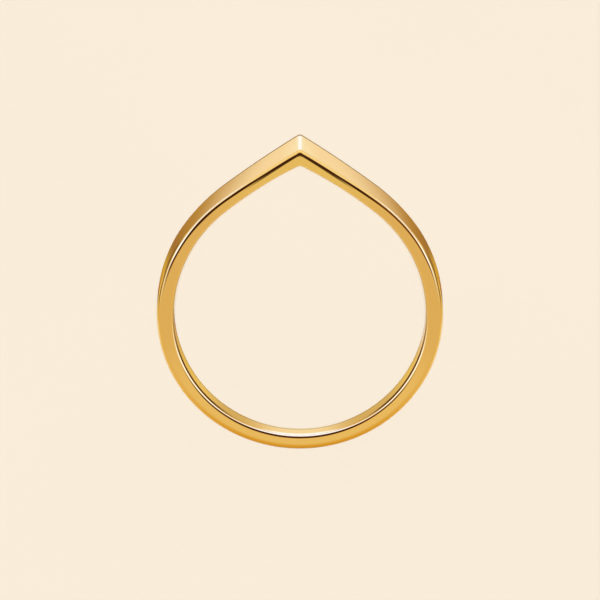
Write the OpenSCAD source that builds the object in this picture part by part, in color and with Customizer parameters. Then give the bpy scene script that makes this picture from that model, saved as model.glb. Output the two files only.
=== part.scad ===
// A plain gold finger ring whose band rises to a ridge over the finger, like a single wave.
// It lies on its back side face: finger hole along Z, peak toward +Y, millimetres.

/* [Finger hole] */
// Radius of the round part of the finger hole
hole_radius = 8.65; // [7.5:0.05:10.5]
// Where the hole leaves the round for its flanks, in degrees from the peak
hole_round_end = 94; // [80:1:105]
// Radius of the hole's flanks, as a multiple of the round
hole_flank = 1.125; // [1.08:0.005:1.2]
// Where the flanks turn into the walls beside the peak, in degrees from the peak
hole_flank_end = 39.8; // [36:0.2:46]
// Slope of those walls where they would meet at the peak, in degrees
hole_slope = 27.6; // [26:0.2:32]
// Radius of the hole's inside corner under the ridge
hole_corner = 0.46; // [0.2:0.02:0.8]

/* [Band] */
// Thickness of the band at its sides
side_thickness = 1.15; // [1:0.05:1.8]
// How much thinner the band is at the palm than at its sides
palm_thinning = 0.08; // [0:0.01:0.1]
// Where the outside leaves the round for its shoulders, in degrees from the peak
band_round_end = 53.5; // [48:0.5:60]
// Radius of the shoulders, as a multiple of the round
band_flank = 1.355; // [1.3:0.005:1.5]
// Where the shoulders turn into the walls beside the peak, in degrees from the peak
band_flank_end = 36.7; // [35.1:0.2:42.1]
// Slope of those walls where they would meet at the peak, in degrees
band_slope = 32.1; // [30.1:0.2:34.1]
// Radius of the ridge over the finger
ridge_radius = 0.34; // [0.2:0.02:0.6]

/* [Width] */
// Width of the band at the palm, along the finger
palm_width = 1.6; // [1.2:0.05:3]
// Width of the band at the peak, along the finger
peak_width = 4.25; // [3:0.05:6]
// Radius of the rounded edges
edge_radius = 0.32; // [0.1:0.01:0.4]

/* [Hidden] */

gold = [0.89, 0.68, 0.34];

// Steps along half an outline: its round and flank, its wall beside the peak, and its corner
curve_steps = 54;
wall_steps = 6;
corner_steps = 6;
// Steps round each rounded edge
edge_steps = 6;
// What is planed off each side face to make it truly flat
planed = 0.004;

// An outline is a list with these columns
ROUND = 0;      // radius of its round part
LIFT = 1;       // height of that part's centre
ROUND_END = 2;  // where the flank starts, in degrees from the peak
FLANK = 3;      // radius of the flank
FLANK_END = 4;  // where the wall beside the peak starts
SLOPE = 5;      // slope at which that wall would reach the middle line
CORNER = 6;     // radius of the corner at the peak

band_radius = hole_radius + side_thickness;
hole = [hole_radius, 0, hole_round_end, hole_radius * hole_flank, hole_flank_end, hole_slope,
        hole_corner];
outside = [band_radius, palm_thinning, band_round_end, band_radius * band_flank, band_flank_end,
           band_slope, ridge_radius];

function heading(a) = [sin(a), cos(a)];
function between(a, b, f) = a + (b - a) * f;
// Height above an arc's centre at which it crosses a line that runs x to its side
function reach(radius, x) = sqrt(radius * radius - x * x);

// Each stretch of an outline is an arc: these are the four arcs' centres and the wall's radius
function round_centre(o) = [0, o[LIFT]];
function flank_centre(o) = round_centre(o) - (o[FLANK] - o[ROUND]) * heading(o[ROUND_END]);
function wall_start(o) = flank_centre(o) + o[FLANK] * heading(o[FLANK_END]);
function wall_radius(o) = wall_start(o).x / (sin(o[FLANK_END]) - sin(o[SLOPE]));
function wall_centre(o) = wall_start(o) - wall_radius(o) * heading(o[FLANK_END]);
function corner_centre(o) = let (c = wall_centre(o)) [0, c.y + reach(wall_radius(o) - o[CORNER], c.x)];
// The height at which the walls would meet without a corner, and the slope where it starts
function sharp_height(o) = let (c = wall_centre(o)) c.y + reach(wall_radius(o), c.x);
function corner_slope(o) = let (c = wall_centre(o)) atan2(-c.x, corner_centre(o).y - c.y);

// A station is an arc's centre, its radius and the direction from one to the other
function along_curve(o, a) = a > o[ROUND_END] ? [round_centre(o), o[ROUND], a]
    : [flank_centre(o), o[FLANK], a];
function stations(o) = concat(
    [for (i = [0:curve_steps]) along_curve(o, between(180, o[FLANK_END], i / curve_steps))],
    [for (i = [1:wall_steps])
        [wall_centre(o), wall_radius(o), between(o[FLANK_END], corner_slope(o), i / wall_steps)]],
    [for (i = [1:corner_steps])
        [corner_centre(o), o[CORNER], corner_slope(o) * (1 - i / corner_steps)]]);
function mirrored(s) = [[-s[0].x, s[0].y], s[1], -s[2]];
function closed(half) = concat(half, [for (i = [len(half) - 2:-1:1]) mirrored(half[i])]);
// The point of a station when its outline is grown by an offset
function at(s, offset) = s[0] + (s[1] + offset) * heading(s[2]);

// Half the band's width at a height, and how far each side face leans from square
low = palm_thinning - band_radius;
high = sharp_height(outside);
lean = atan((peak_width - palm_width) / 2 / (high - low));
function half_width(y) = between(palm_width, peak_width, (y - low) / (high - low)) / 2;

// The edges' radius, held inside the thinnest stretch of the band and inside the ridge
thinnest = min(side_thickness - palm_thinning, (high - sharp_height(hole)) * cos(band_slope),
               palm_width);
edge = min(edge_radius, 0.42 * thinnest, 0.95 * ridge_radius);

// The band's section at a station: front outside edge, front inside edge, then the back two
function turned(f) = edge * (1 - cos(90 * f));
function sunk(f) = edge * (1 - sin(90 * f));
function standing(p, side, f) = [p.x, p.y, side * (half_width(p.y) - sunk(f))];
function section(out, bore) = let (n = edge_steps) concat(
    [for (i = [0:n]) standing(at(out, -turned(i / n)), 1, i / n)],
    [for (i = [n:-1:0]) standing(at(bore, turned(i / n)), 1, i / n)],
    [for (i = [0:n]) standing(at(bore, turned(i / n)), -1, i / n)],
    [for (i = [n:-1:0]) standing(at(out, -turned(i / n)), -1, i / n)]);

// The ring is laid down on its back face and centred along Y
function laid(p) = [p.x, p.y * cos(lean) - p.z * sin(lean), p.y * sin(lean) + p.z * cos(lean)];
rest_height = laid([0, 0, -half_width(0)]).z + planed;

// A slab that planes one side face of the band flat, from a point on that face
module planing(point, turn) {
    half = 2 * band_radius;
    translate(point) rotate([turn, 0, 0]) translate([-half, -half, 0])
        cube([2 * half, 2 * half, 1]);
}

module band_solid() {
    outs = closed(stations(outside));
    bores = closed(stations(hole));
    rings = len(outs);
    points = [for (i = [0:rings - 1]) for (p = section(outs[i], bores[i])) laid(p)];
    around = len(points) / rings;
    ys = [for (p = points) p.y];
    down = [0, -(min(ys) + max(ys)) / 2, -rest_height];
    function spot(i, j) = (i % rings) * around + j % around;
    difference() {
        polyhedron(
            points = [for (p = points) p + down],
            faces = [for (i = [0:rings - 1]) for (j = [0:around - 1])
                [spot(i, j), spot(i, j + 1), spot(i + 1, j + 1), spot(i + 1, j)]],
            convexity = 6);
        planing([0, 0, 0], 180);
        planing(laid([0, 0, half_width(0) - planed]) + down, 2 * lean);
    }
}

module band() {
    color(gold) band_solid();
}

band();
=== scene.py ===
"""A plain gold finger ring whose band rises to one ridge over the finger, in a soft studio.

The ring is modelled standing: the finger runs along Z and the ridge points toward Y, with the middle of
the hole's round at the origin. It is then laid on its back side face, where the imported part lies.
Lengths are in metres, and headings round the ring are in degrees from the ridge.
"""
from __future__ import annotations

import logging
import math
from contextlib import contextmanager
from dataclasses import dataclass
from enum import Enum
from functools import cached_property
from typing import Callable, Iterator
import bmesh
import bpy
from mathutils import Matrix, Vector


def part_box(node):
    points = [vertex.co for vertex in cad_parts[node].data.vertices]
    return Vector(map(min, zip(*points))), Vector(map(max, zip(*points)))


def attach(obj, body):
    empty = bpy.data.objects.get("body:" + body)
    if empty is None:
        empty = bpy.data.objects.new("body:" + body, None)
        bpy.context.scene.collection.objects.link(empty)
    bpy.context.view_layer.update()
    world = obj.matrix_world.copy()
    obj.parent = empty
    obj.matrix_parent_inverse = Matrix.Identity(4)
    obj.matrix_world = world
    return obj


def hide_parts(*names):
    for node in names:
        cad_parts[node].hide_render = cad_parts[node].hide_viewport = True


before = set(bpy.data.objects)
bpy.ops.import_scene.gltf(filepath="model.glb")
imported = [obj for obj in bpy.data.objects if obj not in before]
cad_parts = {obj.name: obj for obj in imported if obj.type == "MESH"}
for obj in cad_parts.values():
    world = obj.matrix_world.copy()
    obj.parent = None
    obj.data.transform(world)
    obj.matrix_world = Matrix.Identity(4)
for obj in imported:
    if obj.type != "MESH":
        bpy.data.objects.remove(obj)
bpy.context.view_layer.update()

log = logging.getLogger("ring")
MM = 0.001
DEGREES = 180.0 / math.pi
NEAR = 0.0001 * MM
SKIN_MARKS = ("outer", "bore", "inset", "sunk", "tilt")
Colour = tuple[float, float, float]
BLACK: Colour = (0.0, 0.0, 0.0)
HOLE_MIDDLE = Vector((0.0, -1.235, 1.382)) * MM


def heading(angle: float) -> Vector:
    """Gives the unit vector at an angle in degrees from the ridge."""
    return Vector((math.sin(math.radians(angle)), math.cos(math.radians(angle)), 0.0))


@contextmanager
def editing(piece: bpy.types.Object, elements: str = "VERT") -> Iterator[None]:
    """Opens one piece in edit mode with nothing selected, and closes it at the end.

    Args:
        piece: the mesh object to work on; every other object is deselected.
        elements: what is selected from, VERT, EDGE or FACE.
    """
    bpy.ops.object.select_all(action="DESELECT")
    piece.select_set(True)
    bpy.context.view_layer.objects.active = piece
    bpy.ops.object.mode_set(mode="EDIT")
    bpy.ops.mesh.select_mode(type=elements)
    bpy.ops.mesh.select_all(action="DESELECT")
    yield
    bpy.ops.object.mode_set(mode="OBJECT")


def pick_edges(piece: bpy.types.Object, test: Callable[[bmesh.types.BMEdge], bool]) -> int:
    """Selects the edges that pass a test, and no others.

    Args:
        piece: the object that is open in edit mode.
        test: says of an edge whether it is wanted.

    Returns:
        How many edges are selected.
    """
    mesh = bmesh.from_edit_mesh(piece.data)
    bpy.ops.mesh.select_all(action="DESELECT")
    wanted = [edge for edge in mesh.edges if test(edge)]
    for edge in wanted:
        edge.select_set(True)
    bmesh.update_edit_mesh(piece.data)
    return len(wanted)


def radius_at(radii: list[float], angle: float) -> float:
    """Reads a list of radii at even headings from 0 to 180 degrees.

    Args:
        radii: the list.
        angle: the heading in degrees.

    Returns:
        The radius there.
    """
    place = angle / 180.0 * (len(radii) - 1)
    start = min(int(place), len(radii) - 2)
    return radii[start] + (radii[start + 1] - radii[start]) * (place - start)


@dataclass(frozen=True)
class Arc:
    """A stretch of an outline: it turns about a centre through an angle in degrees."""

    centre: Vector
    turn: float
    steps: int


@dataclass(frozen=True)
class Outline:
    """One closed outline of the ring: a round, two flanks, the walls beside the ridge and a corner.

    The stretches meet tangent to tangent. Angles are those of the outline's normal from the ridge, and
    slope is the angle at which the walls would meet without a corner. lift is how far the round's middle
    lies above the hole's, corner is a radius, and steps are the edges of each stretch.
    """

    round_radius: float
    lift: float
    round_end: float
    flank_radius: float
    flank_end: float
    slope: float
    corner: float
    steps: tuple[int, int, int, int]

    @property
    def round_centre(self) -> Vector:
        """The middle of the round at the palm."""
        return Vector((0.0, self.lift, 0.0))

    @property
    def flank_centre(self) -> Vector:
        """The middle of the right flank's arc."""
        return self.round_centre - (self.flank_radius - self.round_radius) * heading(self.round_end)

    @property
    def wall_radius(self) -> float:
        """The radius of the long, nearly straight wall beside the ridge."""
        start = self.flank_centre + self.flank_radius * heading(self.flank_end)
        return start.x / (math.sin(math.radians(self.flank_end)) - math.sin(math.radians(self.slope)))

    @property
    def wall_centre(self) -> Vector:
        """The middle of the right wall's arc."""
        start = self.flank_centre + self.flank_radius * heading(self.flank_end)
        return start - self.wall_radius * heading(self.flank_end)

    @property
    def corner_centre(self) -> Vector:
        """The middle of the small corner under or on the ridge."""
        wall = self.wall_centre
        return Vector((0.0, wall.y + math.sqrt((self.wall_radius - self.corner) ** 2 - wall.x**2), 0.0))

    @property
    def sharp_height(self) -> float:
        """The height at which the two walls would meet without a corner."""
        return self.wall_centre.y + math.sqrt(self.wall_radius**2 - self.wall_centre.x**2)

    @property
    def low(self) -> float:
        """The height of the outline's lowest point, at the palm."""
        return self.lift - self.round_radius

    def arcs(self) -> list[Arc]:
        """Lists the right half's stretches.

        Returns:
            The arcs in order, from the palm to the ridge.
        """
        rise = self.corner_centre - self.wall_centre
        corner_start = math.degrees(math.atan2(rise.x, rise.y))
        ends = (180.0, self.round_end, self.flank_end, corner_start, 0.0)
        centres = (self.round_centre, self.flank_centre, self.wall_centre, self.corner_centre)
        return [Arc(c, a - b, n) for c, a, b, n in zip(centres, ends, ends[1:], self.steps)]

    def radii(self, count: int = 181, finer: int = 4) -> list[float]:
        """Lists the outline's distance from the hole's middle at even headings from 0 to 180 degrees.

        Args:
            count: how many headings.
            finer: how many points are measured for each step of an arc.

        Returns:
            The distances.
        """
        spots = []
        point = Vector((0.0, self.low, 0.0))
        for arc in self.arcs():
            turn = Matrix.Rotation(math.radians(arc.turn / (finer * arc.steps)), 3, "Z")
            for _ in range(finer * arc.steps):
                spots.append((math.degrees(math.atan2(point.x, point.y)), point.length))
                point = arc.centre + turn @ (point - arc.centre)
        spots.append((0.0, point.length))
        spots.sort()
        found, at = [], 0
        for step in range(count):
            angle = 180.0 * step / (count - 1)
            while at < len(spots) - 2 and spots[at + 1][0] < angle:
                at += 1
            (before, near), (after, far) = spots[at], spots[at + 1]
            share = min(1.0, max(0.0, (angle - before) / (after - before)))
            found.append(near + (far - near) * share)
        return found

    def draw(self, name: str) -> bpy.types.Object:
        """Draws the outline as one closed loop of edges in the plane Z = 0.

        Args:
            name: the new object's name.

        Returns:
            The object that holds the loop.
        """
        bpy.ops.object.select_all(action="DESELECT")
        bpy.ops.mesh.primitive_plane_add(size=MM, location=(0.0, self.low, 0.0))
        loop = bpy.context.object
        loop.name = name
        bpy.ops.object.transform_apply(location=True, rotation=True, scale=True)
        with editing(loop):
            bpy.ops.mesh.select_all(action="SELECT")
            bpy.ops.mesh.merge(type="CENTER")
            for arc in self.arcs():
                bpy.ops.mesh.spin(steps=arc.steps, angle=-math.radians(arc.turn), center=arc.centre,
                                  axis=(0.0, 0.0, 1.0))
        half = loop.modifiers.new("Left half", "MIRROR")
        half.use_axis = (True, False, False)
        half.merge_threshold = NEAR
        bpy.ops.object.modifier_apply(modifier=half.name)
        return loop


class Side(Enum):
    """The two side faces of the band, each with its direction along the finger."""

    FRONT = 1.0
    BACK = -1.0


@dataclass
class Band:
    """The whole ring: one band that is narrow at the palm and wide at the ridge.

    Each side face is planed a little, so that it is flat. sharp_edge is the angle in degrees from which an
    edge counts as a rim, and normal_weight is how strongly the flat faces hold the shading at the rims.
    """

    hole: Outline
    outside: Outline
    palm_width: float = 1.6 * MM
    peak_width: float = 4.25 * MM
    planed: float = 0.004 * MM
    edge_radius: float = 0.32 * MM
    edge_steps: int = 10
    sharp_edge: float = 60.0
    normal_weight: int = 80
    name: str = "gold_band"

    @property
    def lean(self) -> float:
        """The angle in radians at which each side face leans from square to the finger."""
        rise = self.outside.sharp_height - self.outside.low
        return math.atan((self.peak_width - self.palm_width) / 2 / rise)

    @property
    def middle_half_width(self) -> float:
        """Half the band's width at the height of the hole's middle."""
        return self.palm_width / 2 - self.outside.low * math.tan(self.lean)

    def face_point(self, side: Side) -> Vector:
        """A point of a side face's plane."""
        return Vector((0.0, 0.0, side.value * (self.middle_half_width - self.planed)))

    def face_normal(self, side: Side) -> Vector:
        """The outward normal of a side face's plane."""
        return Vector((0.0, -math.sin(self.lean), side.value * math.cos(self.lean)))

    def on_face(self, side: Side) -> Callable[[bmesh.types.BMEdge], bool]:
        """Makes the test for edges that lie in a side face's plane.

        Args:
            side: the side face.

        Returns:
            The test.
        """
        point, normal, slack = self.face_point(side), self.face_normal(side), 10 * NEAR
        return lambda edge: all(abs((v.co - point).dot(normal)) < slack for v in edge.verts)

    def build(self) -> bpy.types.Object:
        """Models the band, standing, and lays it down.

        Returns:
            The finished object, at the origin with its place in its mesh.
        """
        loops = [self.hole.draw("hole_outline"), self.outside.draw(self.name)]
        bpy.ops.object.select_all(action="DESELECT")
        for loop in loops:
            loop.select_set(True)
        bpy.context.view_layer.objects.active = loops[1]
        bpy.ops.object.join()
        band = bpy.context.object
        self.raise_walls(band)
        self.cut_side_faces(band)
        self.round_edges(band)
        self.mark_skin(band)
        self.lay_down(band)
        self.smooth(band)
        return band

    def raise_walls(self, band: bpy.types.Object) -> None:
        """Draws both outlines out along the finger, into the hole's wall and the outer wall.

        Args:
            band: the two outlines, as one object.
        """
        reach = self.peak_width
        with editing(band):
            bpy.ops.mesh.select_all(action="SELECT")
            bpy.ops.transform.translate(value=(0.0, 0.0, -reach))
            bpy.ops.mesh.extrude_region_move(TRANSFORM_OT_translate={"value": (0.0, 0.0, 2 * reach)})

    def cut_side_faces(self, band: bpy.types.Object) -> None:
        """Cuts the walls to the leaning side faces and closes the ring between them.

        Args:
            band: the two walls, as one object.
        """
        with editing(band, "EDGE"):
            for side in Side:
                bpy.ops.mesh.select_all(action="SELECT")
                bpy.ops.mesh.bisect(plane_co=self.face_point(side), plane_no=self.face_normal(side),
                                    clear_outer=True, clear_inner=False, use_fill=False)
            for side in Side:
                rims = pick_edges(band, self.on_face(side))
                bpy.ops.mesh.bridge_edge_loops()
                log.info("  %s side face: %d rim edges joined", side.name.lower(), rims)
            bpy.ops.mesh.select_all(action="SELECT")
            bpy.ops.mesh.remove_doubles(threshold=NEAR)
            bpy.ops.mesh.normals_make_consistent(inside=False)

    def round_edges(self, band: bpy.types.Object) -> None:
        """Rounds the four rims of the band.

        Args:
            band: the standing band with sharp rims.
        """
        with editing(band, "EDGE"):
            sharp = math.radians(self.sharp_edge)
            rims = pick_edges(band, lambda edge: edge.calc_face_angle(0.0) > sharp)
            bpy.ops.mesh.bevel(offset=self.edge_radius, offset_type="OFFSET", affect="EDGES",
                               segments=self.edge_steps, profile=0.5, clamp_overlap=False)
            log.info("  %d rim edges rounded", rims)

    def mark_skin(self, band: bpy.types.Object) -> None:
        """Stores five values at each vertex for the finish.

        outer is 1 on the outer wall, bore is 1 on the hole's wall, and both fade over the rims. inset is the
        distance in from the outside and sunk is the distance below the front face, in millimetres. tilt is
        how far the skin turns away from the front face, in degrees.

        Args:
            band: the standing band.
        """
        mesh = band.data
        radii = self.outside.radii()
        top, up = self.face_point(Side.FRONT), self.face_normal(Side.FRONT)
        rows = []
        for vertex in mesh.vertices:
            out = Vector((vertex.co.x, vertex.co.y, 0.0))
            facing = vertex.normal.dot(out.normalized())
            angle = abs(math.degrees(math.atan2(out.x, out.y)))
            rows.append((max(0.0, facing), max(0.0, -facing), (radius_at(radii, angle) - out.length) / MM,
                         (top - vertex.co).dot(up) / MM, math.degrees(vertex.normal.angle(up))))
        for mark, values in zip(SKIN_MARKS, zip(*rows)):
            mesh.attributes.new(mark, "FLOAT", "POINT").data.foreach_set("value", values)

    def lay_down(self, band: bpy.types.Object) -> None:
        """Turns the band by its lean onto the back side face and sets it where the node lies.

        Args:
            band: the standing band.
        """
        low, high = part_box("band")
        with editing(band):
            bpy.ops.mesh.select_all(action="SELECT")
            bpy.ops.transform.rotate(value=-self.lean, orient_axis="X", center_override=(0.0, 0.0, 0.0))
        ys = [v.co.y for v in band.data.vertices]
        zs = [v.co.z for v in band.data.vertices]
        move = (0.0, (low[1] + high[1]) / 2 - (min(ys) + max(ys)) / 2, low[2] - min(zs))
        with editing(band):
            bpy.ops.mesh.select_all(action="SELECT")
            bpy.ops.transform.translate(value=move)

    def smooth(self, band: bpy.types.Object) -> None:
        """Shades the band smooth, its flat faces held flat by weighted normals.

        Args:
            band: the finished band.
        """
        bpy.ops.object.select_all(action="DESELECT")
        band.select_set(True)
        bpy.context.view_layer.objects.active = band
        bpy.ops.object.shade_smooth()
        even = band.modifiers.new("Even normals", "WEIGHTED_NORMAL")
        even.weight = self.normal_weight
        even.keep_sharp = False
        bpy.ops.object.modifier_apply(modifier=even.name)


class Wire:
    """A socket of a node tree that Python's operators work on, each as one node."""

    def __init__(self, nodes: Nodes, socket: bpy.types.NodeSocket) -> None:
        """Keeps the socket and the node tree that it belongs to."""
        self.nodes = nodes
        self.socket = socket

    def math(self, operation: str, *values: Number) -> Wire:
        """Adds one Math node that starts with this wire."""
        return self.nodes.add("ShaderNodeMath", {"operation": operation}, values=(self, *values))

    def __add__(self, other: Number) -> Wire:
        """Sum."""
        return self.math("ADD", other)

    __radd__ = __add__

    def __sub__(self, other: Number) -> Wire:
        """Difference."""
        return self.math("SUBTRACT", other)

    def __rsub__(self, other: Number) -> Wire:
        """Difference the other way round."""
        return self.nodes.add("ShaderNodeMath", {"operation": "SUBTRACT"}, values=(other, self))

    def __mul__(self, other: Number) -> Wire:
        """Product."""
        return self.math("MULTIPLY", other)

    __rmul__ = __mul__

    def __abs__(self) -> Wire:
        """Size without sign."""
        return self.math("ABSOLUTE")

    def most(self, other: Number) -> Wire:
        """The larger of two."""
        return self.math("MAXIMUM", other)

    def rise(self, low: Number, high: Number, start: float = 0.0, end: float = 1.0) -> Wire:
        """Goes smoothly from start to end as this wire goes from low to high.

        Args:
            low: where the rise begins.
            high: where it ends.
            start: the value up to low.
            end: the value from high on.

        Returns:
            The eased value.
        """
        return self.nodes.add(
            "ShaderNodeMapRange", {"interpolation_type": "SMOOTHSTEP"},
            links={"Value": self, "From Min": low, "From Max": high, "To Min": start, "To Max": end})

    def fall(self, low: Number, high: Number) -> Wire:
        """Goes smoothly from 1 to 0 as this wire goes from low to high."""
        return self.rise(low, high, start=1.0, end=0.0)


Number = Wire | float


class Nodes:
    """The node tree of a material or a world."""

    def __init__(self, tree: bpy.types.NodeTree) -> None:
        """Starts with an empty tree."""
        self.tree = tree
        tree.nodes.clear()

    def add(self, kind: str, settings: dict[str, object] | None = None,
            links: dict[str, object] | None = None, values: tuple[object, ...] = (),
            out: int | str = 0) -> Wire:
        """Adds a node.

        Args:
            kind: the node's type.
            settings: its own settings, which are set first.
            links: values or wires for its inputs by name.
            values: values or wires for its inputs in order.
            out: which of its outputs is wanted.

        Returns:
            The wanted output.
        """
        node = self.tree.nodes.new(kind)
        for name, value in (settings or {}).items():
            setattr(node, name, value)
        inputs = list(enumerate(values))
        for name, value in (links or {}).items():
            index = next(i for i, s in enumerate(node.inputs) if s.name == name and s.enabled)
            inputs.append((index, value))
        for index, value in inputs:
            if isinstance(value, Wire):
                self.tree.links.new(value.socket, node.inputs[index])
            else:
                node.inputs[index].default_value = value
        return Wire(self, node.outputs[out])

    def split(self, vector: Wire) -> tuple[Wire, Wire, Wire]:
        """Splits a vector into its X, Y and Z."""
        return tuple(self.add("ShaderNodeSeparateXYZ", values=(vector,), out=axis) for axis in range(3))

    def blend(self, factor: Number, first: Colour | Wire, second: Colour | Wire) -> Wire:
        """Mixes two colours.

        Args:
            factor: how much of the second colour there is.
            first: the colour at factor 0.
            second: the colour at factor 1.

        Returns:
            The mixed colour.
        """
        colours = [c if isinstance(c, Wire) else (*c, 1.0) for c in (first, second)]
        return self.add("ShaderNodeMix", {"data_type": "RGBA"},
                        links={"Factor": factor, "A": colours[0], "B": colours[1]}, out=2)

    def finish(self, kind: str, shader: Wire) -> None:
        """Joins a shader to a new output node of the given type."""
        output = self.tree.nodes.new(kind)
        self.tree.links.new(shader.socket, output.inputs["Surface"])


class Skin:
    """The band's skin as wires: where a place lies, and how strong each painted highlight, dark reflection
    and shade is there.

    around is the heading from the ridge in radians, and turn is the same in degrees without its sign. left
    goes from 0 on the ring's right side to 1 on its left. tilt is how many degrees the skin turns away from
    the front face, and sunk and inset are millimetres below that face and in from the outside. outer and
    bore fade over the rims, and outside and inside are 1 on most of each rim too.
    Lines and patches run from 0 to 1, and all are painted light: white highlights, dark reflections and
    shade. Each is drawn with ramps between two headings, tilts or distances.
    ridge_foot is the height over the floor at which the ridge's painted highlights begin, and what lies
    above_middle is on the ridge's side of the hole.
    """

    ridge_foot: float = 0.3 * MM
    above_middle: float = 1.0 * MM

    def __init__(self, nodes: Nodes) -> None:
        """Reads the place and the values stored on the skin.

        Args:
            nodes: the material's node tree.
        """
        self.place = nodes.add("ShaderNodeTexCoord", out="Object")
        self.x, self.y, self.z = nodes.split(self.place)
        self.outer, self.bore, self.inset, self.sunk, self.tilt = (
            nodes.add("ShaderNodeAttribute", {"attribute_name": mark}, out="Fac") for mark in SKIN_MARKS)
        self.around = self.x.math("ARCTAN2", self.y - HOLE_MIDDLE.y)
        self.turn = abs(self.around) * DEGREES
        self.left = self.x.fall(-7.0 * MM, 7.0 * MM)
        self.outside, self.inside = self.outer.rise(0.12, 0.25), self.bore.rise(0.12, 0.25)

    def strip(self, start: Number, end: Number, soft: float = 4.0,
              soft_end: tuple[float, float] = (4.0, 4.0)) -> Wire:
        """Draws a strip along a rim between two tilts.

        Args:
            start: the tilt at which it begins.
            end: the tilt at which it ends.
            soft: how far its beginning fades, to both sides.
            soft_end: how far its end fades, before and after.

        Returns:
            The strip's strength.
        """
        before, after = soft_end
        return self.tilt.rise(start - soft, start + soft) * self.tilt.fall(end - before, end + after)

    @cached_property
    def outer_highlight_end(self) -> Wire:
        """The tilt at which the painted white highlight on the outer rim gives way to the outer wall."""
        return (self.turn + self.left * 3.0).rise(40.0, 79.0, start=80.0, end=28.0)

    @cached_property
    def bore_highlight_end(self) -> Wire:
        """The tilt at which the painted white highlight on the hole's rim gives way to the hole's wall."""
        return self.turn.rise(146.0, 172.0, start=46.0, end=78.0)

    @cached_property
    def outer_rim_highlight(self) -> Wire:
        """The painted white highlight on the outer rim, from the walls beside the ridge to the sides."""
        start = (self.turn + self.left * 6.0).rise(44.0, 76.0, start=58.0, end=18.0)
        along = (self.turn + self.left * 14.0).rise(28.0, 40.0) * self.turn.fall(74.0, 86.0)
        return self.outside * self.strip(start, self.outer_highlight_end, soft_end=(6.0, 4.0)) * along

    @cached_property
    def bore_rim_highlight(self) -> Wire:
        """The painted white highlight on the hole's rim, fainter where it narrows on the way to the palm."""
        start, narrow = 35.0, 150.0
        along = self.turn.rise(86.0, 112.0) * abs(self.turn - narrow).rise(4.0, 13.0, start=0.5)
        return self.inside * self.strip(start, self.bore_highlight_end, 5.0, (6.0, 4.0)) * along

    @cached_property
    def palm_rim_highlight(self) -> Wire:
        """The broad painted white highlight on the hole's rim at the palm."""
        near_rim = self.tilt.rise(30.0, 40.0) * self.sunk.fall(0.3, 0.46)
        return self.inside * near_rim * self.turn.rise(160.0, 172.0)

    @cached_property
    def rim_highlights(self) -> Wire:
        """All painted white highlights on the rims."""
        return self.outer_rim_highlight + self.bore_rim_highlight.most(self.palm_rim_highlight)

    @cached_property
    def outer_shade(self) -> Wire:
        """The painted dark reflection line on the outer rim, from the ridge to the sides."""
        turn, left = self.turn, self.left
        at_ridge = turn.rise(0.0, 4.0, start=5.0, end=0.0)
        start = (turn.rise(5.0, 20.0, start=6.0, end=15.5) + turn.rise(20.0, 45.0, end=7.5)
                 - turn.rise(47.0, 66.0, end=11.0) - left * turn.rise(28.0, 46.0, end=8.0) - at_ridge)
        end = (turn.rise(12.0, 26.0, start=38.0, end=50.0) - (turn + left * 4.0).rise(47.0, 66.0, end=22.0)
               - turn.rise(66.0, 78.0, end=8.0) - at_ridge)
        return self.outer.rise(0.03, 0.1) * self.strip(start, end) * turn.fall(65.0, 83.0)

    @cached_property
    def bore_shade(self) -> Wire:
        """The painted dark reflection line on the hole's rim, from the sides to the palm."""
        start = self.turn.rise(120.0, 135.0, start=18.0, end=14.5)
        end = self.turn.rise(120.0, 170.0, start=30.0, end=42.0)
        return self.bore.rise(0.05, 0.15) * self.strip(start, end) * self.turn.rise(104.0, 132.0)

    @cached_property
    def face_shade(self) -> Wire:
        """The part of the painted dark reflection line that lies on the front face, just under the ridge."""
        across = self.inset.rise(0.2, 0.26) * self.inset.fall(0.34, 0.4)
        return across * self.turn.fall(12.0, 24.0) * self.y.rise(0.0, self.above_middle)

    @cached_property
    def shade(self) -> Wire:
        """All painted dark reflection lines on the rims."""
        return self.outer_shade.most(self.bore_shade).most(self.face_shade * 0.9)

    @cached_property
    def seam(self) -> Wire:
        """The thin brown painted shade line beyond the white highlight, on the hole's wall and on the outer
        wall.
        """
        turn, left = self.turn, self.left
        shallow, shallow_at, deeper = 0.25, 138.0, 0.003
        depth = (shallow_at - turn) * deeper + shallow
        in_bore = (self.inside * self.tilt.rise(46.0, 56.0) * self.sunk.fall(depth, depth + 0.1)
                   * turn.fall(136.0, 152.0) * turn.rise(84.0, 112.0, start=0.35))
        start = (turn + left * 4.0).rise(62.0, 78.0, start=56.0, end=38.0)
        end = (turn + left * 2.0).rise(64.0, 78.0, start=104.0, end=58.0)
        along = (turn + left * 6.0).rise(58.0, 66.0) * turn.rise(78.0, 90.0, start=1.0, end=0.2)
        on_wall = self.outside * self.strip(start, end, 5.0, (8.0, 8.0)) * self.sunk.fall(0.35, 0.7) * along
        return in_bore + on_wall * turn.rise(90.0, 94.0, start=0.8, end=0.0)

    @cached_property
    def contact_shade(self) -> Wire:
        """The painted contact shade: a brown line along the back rims, low over the floor."""
        on_wall = self.outer.rise(0.5, 0.8) * self.turn.rise(28.0, 52.0, start=0.85, end=0.0)
        return self.z.fall(0.36 * MM, 0.6 * MM) * (on_wall + self.bore.rise(0.5, 0.8) * 0.35)

    @cached_property
    def palm_contact_shade(self) -> Wire:
        """The painted brown shade line on the outer rim at the palm."""
        under_rim = self.tilt.rise(36.0, 58.0) * self.sunk.fall(0.24, 0.38)
        return self.outside * under_rim * self.turn.rise(164.0, 176.0)

    @cached_property
    def warm_rim_reflection(self) -> Wire:
        """The painted warm, darker reflection tone of the outer rim beside the ridge."""
        return self.outside * self.tilt.fall(26.0, 62.0) * self.turn.fall(18.0, 30.0)

    @cached_property
    def near_front(self) -> Wire:
        """Strong near the front rims and weak on the rest of the walls."""
        return self.sunk.rise(0.3, 0.8, start=1.0, end=0.3)

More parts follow.
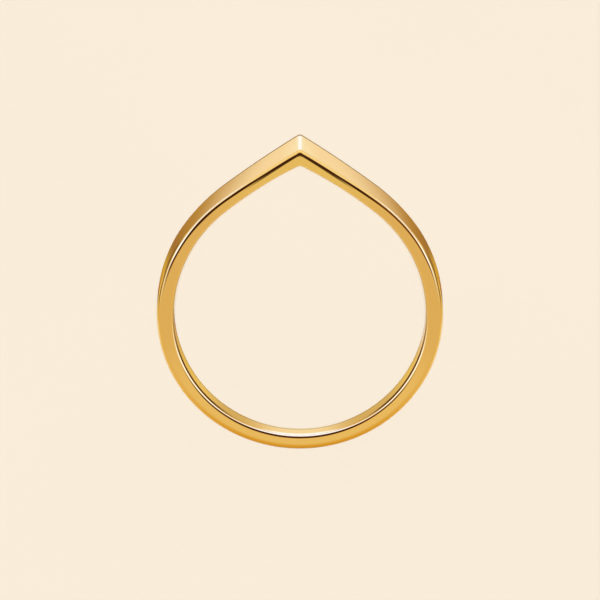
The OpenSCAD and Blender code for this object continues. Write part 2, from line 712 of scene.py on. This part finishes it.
    @cached_property
    def amber_rim_reflection(self) -> Wire:
        """The painted amber reflection tone toward the outside, from the sides to the palm."""
        return self.inset.fall(0.22, 0.48) * self.turn.rise(95.0, 160.0) * self.near_front

    @cached_property
    def palm_amber_reflection(self) -> Wire:
        """The deeper painted amber reflection tone of the outer rim under the palm."""
        return self.outside * self.tilt.rise(20.0, 40.0) * self.turn.rise(125.0, 175.0) * self.near_front

    @cached_property
    def crest(self) -> Wire:
        """The outer wall over the finger, between its rims."""
        between = self.z.rise(self.ridge_foot, 0.9 * MM) * self.sunk.rise(0.28, 0.5)
        return self.outer.rise(0.6, 0.95) * self.y.rise(0.0, self.above_middle) * between

    @cached_property
    def ridge(self) -> Wire:
        """The painted highlight line along the ridge."""
        return abs(self.x).fall(0.05 * MM, 0.17 * MM) * self.crest

    @cached_property
    def pale_highlight(self) -> Wire:
        """The pale painted highlight close beside the ridge."""
        return abs(self.x).fall(0.12 * MM, 0.4 * MM) * self.crest

    @cached_property
    def faint_highlight(self) -> Wire:
        """The wide, faint painted highlight round the ridge, stronger toward the front."""
        return (abs(self.x).fall(0.2 * MM, 1.5 * MM) * self.crest
                * self.z.rise(self.ridge_foot, 2.8 * MM, start=0.5))

    @cached_property
    def shoulder_shade_depth(self) -> Wire:
        """How deep the painted darker reflection on the outer wall is: it deepens from the ridge to the
        sides, and low down first.
        """
        half_height, slant = 2.0 * MM, 2.4 / MM
        past_highlight = self.tilt.rise(self.outer_highlight_end - 2.0, self.outer_highlight_end + 7.0)
        deepening = self.turn + self.left * 5.0 - (self.z - half_height) * slant
        past_side = self.turn.rise(86.0, 96.0, start=1.0, end=0.4)
        return self.outside * past_highlight * deepening.rise(10.0, 54.0) * past_side

    @cached_property
    def bore_shade_depth(self) -> Wire:
        """How deep the painted darker reflection on the hole's wall is: deep at the sides and gone at the
        palm.
        """
        past_highlight = self.tilt.rise(self.bore_highlight_end - 2.0, self.bore_highlight_end + 7.0)
        on_left = self.left * self.turn.rise(84.0, 112.0, start=0.8)
        from_side = self.turn.rise(96.0, 118.0, start=0.3).most(on_left)
        to_palm = self.turn.rise(150.0, 174.0, start=0.92, end=0.0)
        return self.inside * past_highlight * from_side * to_palm


@dataclass(frozen=True)
class Gold:
    """Polished yellow gold, with painted darker reflections on the shoulders and a painted ridge highlight.

    The colours stand in this order: the gold of the walls; the front face's tones by heading, painted as
    reflection; the painted darker reflection tone of the hole's wall; the painted reflection tones of the
    rims;
    the painted highlights round the ridge, beside it and on the rims; the painted dark reflection lines; the
    painted shade on the outer rim at the palm, beyond the white highlights and along the back rims; the
    painted glow of the brightest highlights; and the two tints of the clear coat, which paints the darker
    reflections on the walls. wear is how much rougher the traces of polishing and the clouds are, and
    polish_lines and clouds are their scales.
    """

    fair: Colour = (0.976, 0.72, 0.28)
    # The front face's tones by heading are painted reflection: darker at the sides and brighter at the palm.
    face_side: Colour = (0.9, 0.645, 0.283)
    face_palm: Colour = (1.0, 0.757, 0.333)
    face_peak: Colour = (0.965, 0.762, 0.322)
    # Painted darker reflection tone of the hole's wall, low at the sides.
    bore_shade_tone: Colour = (0.70, 0.48, 0.22)
    # Painted reflection tones of the rims: beside the ridge, toward the palm and under the palm.
    warm_rim_reflection: Colour = (0.5, 0.27, 0.06)
    amber_rim_reflection: Colour = (0.85, 0.49, 0.058)
    palm_amber_reflection: Colour = (0.62, 0.30, 0.03)
    # Colours of painted highlights: round the ridge, close beside it, and the white lines on the ridge and
    # rims.
    faint_highlight: Colour = (1.0, 0.86, 0.45)
    pale_highlight: Colour = (0.99, 0.93, 0.58)
    white_highlight: Colour = (1.0, 0.985, 0.95)
    # Colours of the painted dark reflection lines.
    dark_line: Colour = (0.055, 0.014, 0.003)
    warm_line: Colour = (0.15, 0.042, 0.005)
    pale_line: Colour = (0.18, 0.06, 0.005)
    # Painted shade colour on the outer rim at the palm.
    palm_contact_shade: Colour = (0.3, 0.12, 0.012)
    # Painted shade colour of the thin line beyond the white highlight.
    seam: Colour = (0.13, 0.042, 0.004)
    # Painted contact shade colour along the back rims.
    contact_shade: Colour = (0.09, 0.058, 0.014)
    # Painted glow, given as emission, which brightens the brightest painted highlights.
    glow: Colour = (0.06, 0.13, 0.19)
    # Tints of the clear coat that paints the darker reflections on the walls.
    deep_tint: Colour = (0.872, 0.798, 0.585)
    rich_tint: Colour = (0.97, 0.935, 0.73)
    coat_strength: float = 0.95
    roughness: float = 0.035
    wear: float = 0.02
    polish_lines: float = 26.0
    polish_depth: float = 0.0003 * MM
    clouds: float = 420.0

    def line_tone(self, nodes: Nodes, skin: Skin) -> Wire:
        """Colours the painted dark reflection lines: darkest beside the ridge, browner on the right and in
        the hole.

        Args:
            nodes: the material's node tree.
            skin: the band's skin.

        Returns:
            The colour.
        """
        turn, side = skin.turn, 90.0
        right = skin.x.rise(2.0 * MM, 5.0 * MM) * turn.rise(24.0, 40.0)
        in_bore = turn.rise(side, side + 1.0, end=0.5)
        paler = (turn - skin.left * 8.0).rise(46.0, 60.0) * turn.fall(side, side + 1.0)
        tone = nodes.blend(right.most(in_bore), self.dark_line, self.warm_line)
        return nodes.blend(paler, tone, self.pale_line)

    def tone(self, nodes: Nodes, skin: Skin) -> Wire:
        """Colours the gold with painted light: the front face's painted reflection tones first, then the
        painted reflection patches and highlights, and the painted lines and shade on the rims last.

        Args:
            nodes: the material's node tree.
            skin: the band's skin.

        Returns:
            The colour.
        """
        turn = skin.turn
        toned = nodes.blend(turn.rise(8.0, 45.0), self.face_peak, self.face_side)
        # Every layer but fair, the gold of the walls, paints reflection, highlight or shade into the colour.
        layers = (
            (turn.rise(95.0, 130.0), self.face_palm),
            ((skin.outer + skin.bore).rise(0.3, 0.9), self.fair),
            (skin.bore_shade_depth * (turn - skin.left * 8.0).rise(120.0, 137.0), self.bore_shade_tone),
            (skin.warm_rim_reflection, self.warm_rim_reflection),
            (skin.inside * turn.rise(160.0, 178.0) * 0.3, self.pale_highlight),
            (skin.amber_rim_reflection, self.amber_rim_reflection),
            (skin.palm_amber_reflection, self.palm_amber_reflection),
            (skin.faint_highlight, self.faint_highlight),
            (skin.pale_highlight, self.pale_highlight),
            (skin.ridge + skin.rim_highlights, self.white_highlight),
            (skin.shade, self.line_tone(nodes, skin)),
            (skin.palm_contact_shade * 0.75, self.palm_contact_shade),
            (skin.seam, self.seam),
            (skin.contact_shade, self.contact_shade),
        )
        for strength, colour in layers:
            toned = nodes.blend(strength, toned, colour)
        return toned

    def polish(self, nodes: Nodes, skin: Skin) -> tuple[Wire, Wire]:
        """Makes the fine traces of polishing, which run along the band, and faint clouds of wear.

        Args:
            nodes: the material's node tree.
            skin: the band's skin.

        Returns:
            The roughness and the relief.
        """
        along_ring = 0.8
        across = nodes.add("ShaderNodeCombineXYZ", values=(
            skin.inset, skin.z * (1.0 / MM), skin.around.math("SINE") * along_ring))
        lines = nodes.add("ShaderNodeTexNoise", {"noise_dimensions": "4D"}, links={
            "Vector": across, "W": skin.around.math("COSINE") * along_ring, "Scale": self.polish_lines,
            "Detail": 3.0, "Roughness": 0.6})
        cloud = nodes.add("ShaderNodeTexNoise", links={
            "Vector": skin.place, "Scale": self.clouds, "Detail": 2.0})
        rough = self.roughness + cloud.rise(0.35, 0.7) * self.wear + lines.rise(0.5, 0.75) * self.wear
        relief = nodes.add("ShaderNodeBump", links={
            "Strength": 0.5, "Distance": self.polish_depth, "Height": lines})
        return rough, relief

    def material(self) -> bpy.types.Material:
        """Makes the finish from the band's place and from the values stored on its skin.

        The darker reflections on the walls are painted with a clear tinted coat, weighted by painted masks
        and stronger at a grazing angle.

        Returns:
            The material.
        """
        made = bpy.data.materials.new("polished_gold")
        made.use_nodes = True
        nodes = Nodes(made.node_tree)
        skin = Skin(nodes)
        rough, relief = self.polish(nodes, skin)
        # The coat's weight paints darker reflections on the walls, the second shade line and the contact
        # shade.
        walls = (skin.shoulder_shade_depth + skin.bore_shade_depth) * (1.0 - skin.rim_highlights) * self.coat_strength
        # The glow is painted light: an emission that brightens the painted highlights on the ridge and at
        # the palm.
        bright = skin.ridge.most(skin.palm_rim_highlight * skin.tilt.rise(42.0, 54.0))
        shared = {
            "Base Color": self.tone(nodes, skin), "Metallic": 1.0, "Roughness": rough, "Normal": relief,
            "Emission Color": nodes.blend(bright, BLACK, self.glow), "Emission Strength": 1.0,
            "Coat Weight": walls.most(skin.seam).most(skin.contact_shade), "Coat IOR": 1.0}
        metals = [nodes.add("ShaderNodeBsdfPrincipled", links={**shared, "Coat Tint": (*tint, 1.0)})
                  for tint in (self.deep_tint, self.rich_tint)]
        rich = ((1.0 - skin.seam) * (1.0 - skin.contact_shade)
                * (skin.inside + skin.outside * skin.turn.rise(60.0, 74.0)))
        nodes.finish("ShaderNodeOutputMaterial", nodes.add("ShaderNodeMixShader", values=(rich, *metals)))
        return made


@dataclass(frozen=True)
class Surroundings:
    """What the gold mirrors: warm light all round, and a bright window low on the ridge's side.

    A curtain is drawn over the middle of the window. Heights and directions are in degrees, from the floor
    and from the ridge. The camera sees the plain backdrop instead.
    """

    front: Colour = (0.81, 0.634, 0.332)
    window: Colour = (1.15, 1.1, 1.0)
    curtain: Colour = (1.12, 1.07, 1.0)
    backdrop: Colour = (0.947, 0.847, 0.701)

    def build(self) -> None:
        """Makes the world."""
        world = bpy.data.worlds.new("studio")
        bpy.context.scene.world = world
        world.use_nodes = True
        nodes = Nodes(world.node_tree)
        x, y, z = nodes.split(nodes.add("ShaderNodeTexCoord", out="Generated"))
        height = z.math("ARCSINE") * DEGREES
        right = x.math("ARCTAN2", y) * DEGREES
        side = abs(right)
        soft, soft_drawn = 2.0, 5.0
        top = side.rise(30.0, 60.0, start=38.0, end=46.0) + side.rise(96.0, 130.0, end=11.0)
        in_window = height.fall(top - soft, top + soft) * side.fall(108.0, 122.0)
        drawn = right.rise(-60.0, 60.0, start=44.0, end=52.0)
        pane = nodes.blend(side.rise(drawn - soft_drawn, drawn + soft_drawn), self.curtain, self.window)
        pane = nodes.blend(side.rise(90.0, 116.0), pane, self.front)
        mirrored = nodes.blend(in_window, self.front, pane)
        seen = nodes.add("ShaderNodeLightPath", out="Is Camera Ray")
        colour = nodes.blend(seen, mirrored, self.backdrop)
        light = nodes.add("ShaderNodeBackground", links={"Color": colour, "Strength": 1.0})
        nodes.finish("ShaderNodeOutputWorld", light)


@dataclass(frozen=True)
class Studio:
    """The floor, the lamp and the camera, which looks at a point near the middle of the hole."""

    aim_right: float = 0.006 * MM
    aim_up: float = 0.786 * MM
    tilt: float = 13.79
    distance: float = 0.9
    view_width: float = 41.19 * MM
    sensor: float = 36.0
    nearest: float = 0.01
    farthest: float = 3.0
    floor_size: float = 4.0
    floor_light: Colour = (0.804, 0.724, 0.604)
    floor_dark: Colour = (0.792, 0.712, 0.592)
    floor_drift: float = 30.0
    floor_grain: float = 2600.0
    lamp_power: float = 2.115
    lamp_colour: Colour = (0.457, 0.64, 1.0)
    lamp_softness: float = 6.0
    lamp_lean: float = 11.5

    def camera(self) -> bpy.types.Object:
        """Places the camera at the photograph's angle to the ring.

        Returns:
            The camera.
        """
        data = bpy.data.cameras.new("camera")
        camera = bpy.data.objects.new("camera", data)
        bpy.context.collection.objects.link(camera)
        data.sensor_width = self.sensor
        data.lens = self.sensor * self.distance / self.view_width
        data.clip_start, data.clip_end = self.nearest, self.farthest
        tilt = math.radians(self.tilt)
        right = Vector((1.0, 0.0, 0.0))
        up = Vector((0.0, math.cos(tilt), -math.sin(tilt)))
        back = Vector((0.0, math.sin(tilt), math.cos(tilt)))
        camera.location = HOLE_MIDDLE + self.aim_right * right + self.aim_up * up + self.distance * back
        camera.rotation_euler = (-tilt, 0.0, 0.0)
        bpy.context.scene.camera = camera
        return camera

    def floor(self) -> bpy.types.Object:
        """Lays the floor.

        Returns:
            The floor.
        """
        bpy.ops.mesh.primitive_plane_add(size=self.floor_size, location=(0.0, 0.0, 0.0))
        floor = bpy.context.object
        floor.name = "floor"
        made = bpy.data.materials.new("pale_floor")
        made.use_nodes = True
        nodes = Nodes(made.node_tree)
        place = nodes.add("ShaderNodeTexCoord", out="Object")
        drift = nodes.add("ShaderNodeTexNoise", links={
            "Vector": place, "Scale": self.floor_drift, "Detail": 3.0})
        grain = nodes.add("ShaderNodeTexNoise", links={
            "Vector": place, "Scale": self.floor_grain, "Detail": 2.0})
        mottle = drift.rise(0.3, 0.7) * 0.7 + grain.rise(0.3, 0.7) * 0.3
        nodes.finish("ShaderNodeOutputMaterial", nodes.add("ShaderNodeBsdfPrincipled", links={
            "Base Color": nodes.blend(mottle, self.floor_light, self.floor_dark), "Roughness": 0.9,
            "Specular IOR Level": 0.0}))
        floor.data.materials.append(made)
        return floor

    def lamp(self) -> bpy.types.Object:
        """Hangs the lamp beside the lens. It lights the floor evenly and isn't mirrored in the gold.

        Returns:
            The lamp.
        """
        data = bpy.data.lights.new("beside_lens", "SUN")
        data.energy = self.lamp_power
        data.color = self.lamp_colour
        data.angle = math.radians(self.lamp_softness)
        lamp = bpy.data.objects.new("beside_lens", data)
        bpy.context.collection.objects.link(lamp)
        lamp.rotation_euler = (-math.radians(self.lamp_lean), 0.0, 0.0)
        lamp.visible_glossy = False
        return lamp


def main() -> None:
    """Builds the ring and its studio."""
    logging.basicConfig(level=logging.INFO, format="%(message)s")
    hole = Outline(round_radius=8.65 * MM, lift=0.0, round_end=94.0, flank_radius=9.73125 * MM,
                   flank_end=39.8, slope=27.6, corner=0.46 * MM, steps=(69, 43, 24, 8))
    outside = Outline(round_radius=9.8 * MM, lift=0.08 * MM, round_end=53.5, flank_radius=13.279 * MM,
                      flank_end=36.7, slope=32.1, corner=0.34 * MM, steps=(99, 13, 24, 8))
    band = Band(hole, outside).build()
    band.data.materials.append(Gold().material())
    # The floor gets no gold light and no soft shade from the band, only the lamp's shadow.
    band.visible_diffuse = False
    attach(band, "root")
    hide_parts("band")
    log.info("%s: %d faces", band.name, len(band.data.polygons))
    Surroundings().build()
    studio = Studio()
    for made in (studio.floor(), studio.lamp(), studio.camera()):
        log.info("%s: in place", made.name)
    bpy.context.scene.view_settings.view_transform = "Standard"


if __name__ == "__main__":
    main()
